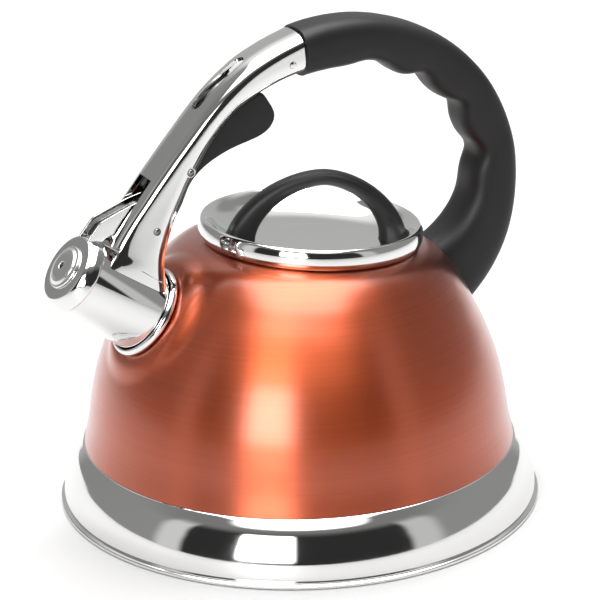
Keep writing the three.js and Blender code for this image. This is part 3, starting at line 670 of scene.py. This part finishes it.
def arm_channel():
    """The open channel from the grip to the spout, with its slot, fork, mouth and pin holes."""
    rings = []
    for x, z, edge_x, edge_z, half, foot in catmull(ARM, 7):
        down = np.array([edge_x - x, 0, edge_z - z])
        depth = np.linalg.norm(down)
        down /= depth
        section = arm_section(half, foot, depth)
        rings.append(np.array([x, 0, z]) + section[:, 1:] * down + section[:, :1] * SIDE)
    arm = skin("arm_channel_fine", rings)
    for middle in (-11.1, 11.1):  # a small boss round each end of the trigger's pin
        low, high = middle - 0.8, middle + 0.8
        boss = eased([[1.6, low], [2.3, low], [2.3, high], [1.6, high]], 0.25, 3)
        arm = boolean(arm, revolve("ear", boss, TRIGGER_PIN, SIDE, 64), "UNION")
    arm = boolean(arm, crown_slot())
    fork = eased([[-72.6, 162.1], [-66.9, 155.4], [-80, 138], [-86, 128], [-104, 118], [-106, 150],
                  [-80, 166]], 0.6, 2)
    arm = boolean(arm, prism("fork", fork, -6.0, 6.0))
    mouth = [[-84, 134.8], [-84, 108], [-110, 108], [-110, 134.8]]
    arm = boolean(arm, prism("mouth", mouth, -12.0, 12.0))
    front = [[-90.6, 133.0], [-95.4, 127.4], [-96.5, 110], [-112, 110], [-112, 133.0]]
    arm = boolean(arm, prism("front", front, -20, 20))
    arm = boolean(arm, spout_lump(0.15))
    for at, radius in ((WHISTLE_PIN, 1.7), (TANG_RIVET, 1.6), (TRIGGER_PIN, 1.6)):
        arm = boolean(arm, cross_hole(at, radius))
    return finish(arm, POLISHED, "kettle", "polished", "arm_channel")


def arm_saddle():
    """The strap that holds the arm on the spout."""
    ring = eased([[17.75, 13], [21.4, 13], [21.4, 25], [17.75, 25]], 0.4, 2)
    strap = revolve("arm_saddle_fine", ring, SPOUT_ORIGIN, SPOUT_AXIS, AROUND_SPOUT)
    below = SPOUT_ORIGIN + 18 * SPOUT_AXIS
    normal = np.array([SPOUT_AXIS[2], 0, -SPOUT_AXIS[0]])
    corners = [below + normal * 15.6 - SPOUT_AXIS * 40, below + normal * 15.6 + SPOUT_AXIS * 40,
               below - normal * 60 + SPOUT_AXIS * 40, below - normal * 60 - SPOUT_AXIS * 40]
    strap = boolean(strap, prism("below", [[c[0], c[2]] for c in corners], -40, 40))
    strap = boolean(strap, spout_lump(0.3))
    return finish(strap, STEEL, "kettle", "steel", "arm_saddle")


# ---- grip --------------------------------------------------------------------------------------

# The grip's outer and inner edges round the loop's centre, as [angle in degrees, radius].
CROWN_RADIUS = [[126, 85.4], [105, 75.7], [84, 68.2], [60, 63.2], [35, 61.2], [10, 62.4], [-15, 66.4],
                [-40, 73.4], [-68, 81.5]]
KEEL_RADIUS = [[136, 69.4], [124, 61.2], [108, 52.4], [83, 43.4], [50, 39.5], [20, 39.2], [-10, 41.4],
               [-30, 43.3], [-68, 42.6]]
GRIP_START, GRIP_END = 122.4, -66.0  # angles of the ends at the arm and in the dome
FINGERS = (99, 70.5, 37, 3)  # angles of the finger hollows
FINGER_DEPTH = 3.7
FINGER_SPREAD = 8.4


def read_curve(pairs, angle):
    """The radius at an angle, read off an [angle, radius] curve."""
    fine = catmull(pairs, 24)[::-1]
    return np.interp(angle, fine[:, 0], fine[:, 1])


def loop_point(angle, radius):
    """A point [x, z] at an angle and radius round the loop's centre."""
    a = math.radians(angle)
    return np.array([LOOP[0] + radius * math.cos(a), LOOP[1] + radius * math.sin(a)])


def grip():
    """The black hooped handle with its finger hollows."""
    section = oblong(64, 3.1)
    rings = []
    for angle in np.linspace(GRIP_START, GRIP_END, 181):
        swing = 9.5 * max(0.0, (angle - 95) / (GRIP_START - 95))
        hollow = sum(FINGER_DEPTH * math.exp(-(((angle - at) / FINGER_SPREAD) ** 2)) for at in FINGERS)
        crown = loop_point(angle, read_curve(CROWN_RADIUS, angle))
        keel = loop_point(angle + swing, read_curve(KEEL_RADIUS, angle + swing) + hollow)
        middle, reach = (crown + keel) / 2, (crown - keel) / 2
        half = GRIP_HALF + 1.4 * smoothstep(0, -60, angle)
        rings.append(np.stack([middle[0] + reach[0] * section[:, 0], half * section[:, 1],
                               middle[1] + reach[1] * section[:, 0]], 1))
    grip_piece = skin("grip_fine", rings)
    levels = [press_seat(dome_ring(z, r + 0.2), SPOUT_SEAT + 0.2) for z, r in dome_levels()[::3]]
    grip_piece = boolean(grip_piece, skin("dome_lump", levels))
    head = cylinder("head", REAR_SEAT + 12.3 * REAR_AXIS, REAR_SEAT + 32 * REAR_AXIS, 4.1)
    return finish(boolean(grip_piece, head), PLASTIC, "kettle", "black", "grip")


def rear_screw():
    """The screw at the grip's foot."""
    outline = [[0, -3.2], [1.9, -3.2], [1.9, 12.6], [3.6, 12.6], [3.75, 12.8], [3.75, 14.3],
               [3.4, 14.9], [2.4, 15.2], [1.5, 15.2], [1.4, 14.2], [0, 14.2]]
    obj = revolve("rear_screw_fine", outline, REAR_SEAT, REAR_AXIS, 48)
    return finish(obj, STEEL, "kettle", "steel", "rear_screw")


# ---- trigger -----------------------------------------------------------------------------------

TRIGGER = [
    [-51.0, 160.4], [-44.4, 165.4], [-34.7, 169.8], [-25.0, 172.5], [-20.1, 173.9], [-16.3, 175.9],
    [-13.9, 178.4], [-12.6, 181.4], [-12.9, 184.6], [-15.0, 188.6], [-18.7, 193.2], [-25.0, 191.2],
    [-35.0, 187.2], [-43.0, 181.0], [-50.0, 172.6], [-54.6, 167.8], [-58.0, 165.4], [-59.4, 162.6],
    [-62.6, 157.2], [-66.6, 151.6], [-68.9, 146.6], [-66.9, 142.2], [-62.0, 142.6], [-58.2, 148.0],
    [-54.6, 155.6],
]


def trigger():
    """The black squeeze lever, forked at its nose round the whistle lever's stud."""
    body = plate("trigger_fine", catmull(TRIGGER, 5, closed=True), -TRIGGER_HALF, TRIGGER_HALF, 1.1, 4)
    between = prism("between", [[-77, 135], [-57, 135], [-57, 169], [-77, 169]], -LEVER_HALF - 0.6,
                    LEVER_HALF + 0.6)
    body = boolean(body, between)
    away = (LINK_STUD - TRIGGER_PIN)[[0, 2]]
    away /= np.linalg.norm(away)
    beside = np.array([-away[1], away[0]])
    half = 2.05
    stud = LINK_STUD[[0, 2]]
    mouth = [stud - half * away - half * beside, stud + 12 * away - half * beside,
             stud + 12 * away + half * beside, stud - half * away + half * beside]
    body = boolean(body, prism("mouth", mouth, -12, 12))
    body = boolean(body, cross_hole(TRIGGER_PIN, 1.58))
    return finish(body, PLASTIC, "trigger", "black", "trigger")


def pin(name, at, radius, half, material, body, slot, node, dome=0.5):
    """A riveted pin across the handle plane, with low domed ends."""
    outline = [[0, -half - dome], [radius * 0.6, -half - dome * 0.7], [radius * 0.95, -half],
               [radius, -half + 0.4], [radius, half - 0.4], [radius * 0.95, half],
               [radius * 0.6, half + dome * 0.7], [0, half + dome]]
    obj = revolve(name, outline, at, SIDE, 40)
    return finish(obj, material, body, slot, node, sharp=math.radians(60))


def pins():
    """The pins, the tang's rivet, the link stud and the spacers beside the whistle lever."""
    pin("trigger_pin_fine", TRIGGER_PIN, 1.5, 12.3, PIN, "kettle", "polished", "trigger_pin")
    pin("whistle_pin_fine", WHISTLE_PIN, 1.6, 13.5, PIN, "kettle", "polished", "whistle_pin")
    pin("tang_rivet_fine", TANG_RIVET, 1.5, 12.05, POLISHED, "kettle", "polished", "tang_rivet", 0.25)
    pin("link_stud_fine", LINK_STUD, 1.5, 7.5, STEEL, "whistle", "steel", "link_stud", 0.15)
    for place, low in (("left", -10.4), ("right", 5.3)):
        ring = eased([[2.1, low], [3.4, low], [3.4, low + 5.1], [2.1, low + 5.1]], 0.2, 2)
        obj = revolve(f"whistle_spacer_{place}_fine", ring, WHISTLE_PIN, SIDE, 40)
        finish(obj, STEEL, "kettle", "steel", f"whistle_spacer_{place}")


# ---- whistle -----------------------------------------------------------------------------------

LEVER_SIDE = [
    [-101.3, 138.4], [-95.4, 145.3], [-87.0, 148.6], [-79.0, 151.5], [-70.5, 153.6], [-65.2, 151.4],
    [-62.9, 147.6], [-64.4, 144.4], [-68.2, 140.6], [-69.0, 137.4], [-72.4, 135.9], [-77.0, 136.6],
    [-85.0, 139.0], [-92.0, 138.6], [-94.3, 137.2], [-96.0, 134.5], [-103.5, 134.0],
]
LEVER_WEB = [
    [-98.9, 136.6], [-93.9, 142.3], [-86.0, 145.4], [-78.0, 148.3], [-77.6, 147.3], [-85.6, 144.4],
    [-93.3, 141.2], [-97.0, 135.0],
]
CAP = [[18.4, 43.3], [18.4, 44.0], [17.5, 46.8], [16.0, 49.2], [15.0, 50.1]]


def cap_lump():
    """The cap as a solid, for cutting the lever that carries it."""
    outline = [[0, 43.0], *[[r + 0.05, h] for r, h in CAP], [0, 50.15]]
    return revolve("cap_lump", outline, SPOUT_ORIGIN, SPOUT_AXIS, AROUND_SPOUT)


def whistle_lever():
    """The double-sided lever between the arm's forks, with a web joining its sides."""
    side = eased(LEVER_SIDE, 1.4, 4)
    lever = plate("whistle_lever_fine", side, LEVER_HALF - 1.2, LEVER_HALF, 0.25)
    lever = boolean(lever, plate("other_side", side, -LEVER_HALF, 1.2 - LEVER_HALF, 0.25), "UNION")
    web = plate("web", LEVER_WEB, 0.5 - LEVER_HALF, LEVER_HALF - 0.5, 0.1, 1)
    lever = boolean(lever, web, "UNION")
    lever = boolean(lever, cap_lump())
    lever = boolean(lever, cross_hole(WHISTLE_PIN, 1.7))
    lever = boolean(lever, cross_hole(LINK_STUD, 1.52))
    return finish(lever, POLISHED, "whistle", "polished", "whistle_lever")


def whistle_parts():
    """The cap with its button, inner plate and seal."""
    cap = eased([[18.4, 43.3], [18.45, 44.2], [17.5, 46.8], [16.2, 49.0], [15.0, 50.1], [6.3, 50.1],
                 [6.3, 49.1], [14.6, 49.1], [16.4, 46.4], [17.5, 43.9], [17.5, 43.3]], 0.7, 4)
    button = eased([[1.6, 52.8], [5.5, 52.8], [7.8, 52.3], [8.7, 51.3], [9.9, 51.1], [10.1, 50.2],
                    [6.0, 50.2], [6.0, 47.6], [1.6, 47.6]], 0.5, 4)
    inner = eased([[1.1, 47.3], [15.2, 47.3], [15.2, 46.5], [1.1, 46.5]], 0.2, 2)
    seal = eased([[14.2, 46.2], [15.9, 46.2], [16.4, 44.4], [14.2, 44.4]], 0.4, 3)
    for name, outline, material, slot in (
            ("whistle_cap", cap, POLISHED, "polished"), ("whistle_button", button, BUFFED, "polished"),
            ("whistle_plate", inner, STEEL, "steel"), ("cap_seal", seal, SEAL, "seal")):
        obj = revolve(name + "_fine", outline, SPOUT_ORIGIN, SPOUT_AXIS, AROUND_SPOUT)
        finish(obj, material, "whistle", slot, name)


# ---- assembly ----------------------------------------------------------------------------------

body_shell()
base_pan()
base_plate()
spout_tube()
spout_collar()
lid_shell()
lid_plug()
lid_handle()
lid_fixings()
arm_channel()
arm_saddle()
grip()
rear_screw()
trigger()
pins()
whistle_lever()
whistle_parts()

# CAD pieces that are mostly hidden keep their own shape, with a real finish.
for node, material in (("base_core", ALUMINIUM), ("grip_tang", STEEL), ("rear_bracket", STEEL),
                       ("trigger_spring", STEEL)):
    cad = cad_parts[node]
    cad.data.materials.clear()
    cad.data.materials.append(material)


# ---- studio ------------------------------------------------------------------------------------

FRONT = math.radians(25.75)  # the camera's bearing; the light round the horizon is laid out from it
WINDOW_LEVEL = 9.0
CEILING_LEVEL = 6.0
SOFTBOX = dict(place=(0.21, 0.46, 1.6), size=1.3, power=70.0)
CAMERA_PLACE = (-0.51512, -1.07184, 0.52711)
CAMERA_RIGHT = (0.8980, -0.4396, -0.0161)
CAMERA_AHEAD = (0.4079, 0.8458, -0.3438)
CAMERA_LENS = 168.0


def studio_floor():
    """A wide pale floor, level with the base."""
    half = 9000
    corners = [(-half, -half), (half, -half), (half, half), (-half, half)]
    obj = skin("studio_floor", [[[x, y, z] for x, y in corners] for z in (-40, 0)])
    obj.data.materials.append(floor_material())


def studio_world():
    """Light from all round: grey walls, a tall window beside a dark stretch, and a bright ceiling."""
    world = bpy.data.worlds.new("studio_world")
    bpy.context.scene.world = world
    world.use_nodes = True
    tree = world.node_tree
    nodes, links = tree.nodes, tree.links
    background = nodes["Background"]
    direction = nodes.new("ShaderNodeTexCoord").outputs["Generated"]

    def dot(vector):
        """The direction's share along a vector."""
        node = nodes.new("ShaderNodeVectorMath")
        node.operation = "DOT_PRODUCT"
        links.new(direction, node.inputs[0])
        node.inputs[1].default_value = vector
        return node.outputs["Value"]

    def math_node(operation, a, b):
        """One arithmetic step on numbers or outputs."""
        node = nodes.new("ShaderNodeMath")
        node.operation = operation
        for socket, value in zip(node.inputs, (a, b)):
            if isinstance(value, (int, float)):
                socket.default_value = value
            else:
                links.new(value, socket)
        return node.outputs["Value"]

    def ramp(value, stops):
        """A grey level read from (place, level) stops."""
        node = nodes.new("ShaderNodeValToRGB")
        node.color_ramp.interpolation = "EASE"
        elements = node.color_ramp.elements
        while len(elements) < len(stops):
            elements.new(0.5)
        for element, (place, level) in zip(elements, sorted(stops)):
            element.position = place
            element.color = (level, level, level, 1)
        links.new(value, node.inputs["Fac"])
        return node.outputs["Color"]

    to_right = (math.cos(FRONT), -math.sin(FRONT), 0)
    to_camera = (-math.sin(FRONT), -math.cos(FRONT), 0)
    turn = math_node("ARCTAN2", dot(to_right), dot(to_camera))
    around = math_node("ADD", math_node("DIVIDE", turn, 2 * math.pi), 0.5)
    rise = math_node("ADD", math_node("DIVIDE", math_node("ARCSINE", dot((0, 0, 1)), 0), math.pi), 0.5)

    def at(degrees):
        """A turn round the horizon as a place on a ramp."""
        return degrees / 360 + 0.5

    def up(degrees):
        """An elevation as a place on a ramp."""
        return degrees / 180 + 0.5

    def layer(factor, below, level):
        """Lays a grey level, or another layer, over the one below by a factor."""
        mix = nodes.new("ShaderNodeMix")
        mix.data_type = "RGBA"
        links.new(factor, mix.inputs["Factor"])
        links.new(below, mix.inputs["A"])
        if isinstance(level, float):
            mix.inputs["B"].default_value = (level, level, level, 1)
        else:
            links.new(level, mix.inputs["B"])
        return mix.outputs["Result"]

    # The walls: mid grey behind and at the sides, a pale card on each side, and black in front.
    room = ramp(around, [
        (at(-180), 0.50), (at(-150), 0.48), (at(-138), 0.28), (at(-75), 0.30), (at(-68), 0.70),
        (at(-60), 0.70), (at(-56), 0.03), (at(-2), 0.03), (at(52), 0.03), (at(56), 0.60), (at(66), 0.60),
        (at(74), 0.30), (at(138), 0.30), (at(150), 0.48), (at(180), 0.50)])
    # Higher up: white behind, dim in front.
    high = ramp(around, [
        (at(-180), 1.0), (at(-145), 1.0), (at(-120), 0.28), (at(-60), 0.22), (at(60), 0.22),
        (at(120), 0.28), (at(145), 1.0), (at(180), 1.0)])
    # One tall bright window, a little left of the camera.
    window_across = ramp(around, [
        (0.0, 0.0), (at(-31), 0.0), (at(-28), 1.0), (at(-5), 1.0), (at(-2), 0.0)])
    window_up = ramp(rise, [(0.0, 0.0), (up(1), 0.0), (up(6), 1.0), (up(30), 1.0), (up(38), 0.0)])
    window = math_node("MULTIPLY", window_across, window_up)
    above = ramp(rise, [(0.0, 0.0), (up(31), 0.0), (up(48), 1.0)])
    # A bright ceiling panel, narrow from side to side.
    overhead = ramp(rise, [(0.0, 0.0), (up(50), 0.0), (up(60), 1.0)])
    aside = math_node("ABSOLUTE", dot(to_right), 0)
    ceiling = math_node("MULTIPLY", overhead, ramp(aside, [(0.0, 1.0), (0.34, 1.0), (0.46, 0.0)]))
    light = layer(window, layer(above, room, high), WINDOW_LEVEL)
    links.new(layer(ceiling, light, CEILING_LEVEL), background.inputs["Color"])


def softbox():
    """A large softbox overhead that keeps the sweep bright without hard shadows."""
    light = bpy.data.lights.new("softbox_top", "AREA")
    light.shape = "SQUARE"
    light.size = SOFTBOX["size"]
    light.energy = SOFTBOX["power"]
    obj = bpy.data.objects.new("softbox_top", light)
    bpy.context.scene.collection.objects.link(obj)
    obj.location = SOFTBOX["place"]
    obj.visible_glossy = False


def camera():
    """A long lens from the front left, a little above the kettle."""
    data = bpy.data.cameras.new("camera")
    data.sensor_width = 36.0
    data.lens = CAMERA_LENS
    obj = bpy.data.objects.new("camera", data)
    bpy.context.scene.collection.objects.link(obj)
    right = Vector(CAMERA_RIGHT).normalized()
    ahead = Vector(CAMERA_AHEAD)
    ahead = (ahead - right * ahead.dot(right)).normalized()
    columns = (right, right.cross(ahead), -ahead, Vector(CAMERA_PLACE))
    rows = [[column[i] for column in columns] for i in range(3)]
    obj.matrix_world = Matrix((*rows, (0, 0, 0, 1)))
    bpy.context.scene.camera = obj


studio_floor()
studio_world()
softbox()
camera()
bpy.context.scene.view_settings.view_transform = "Standard"
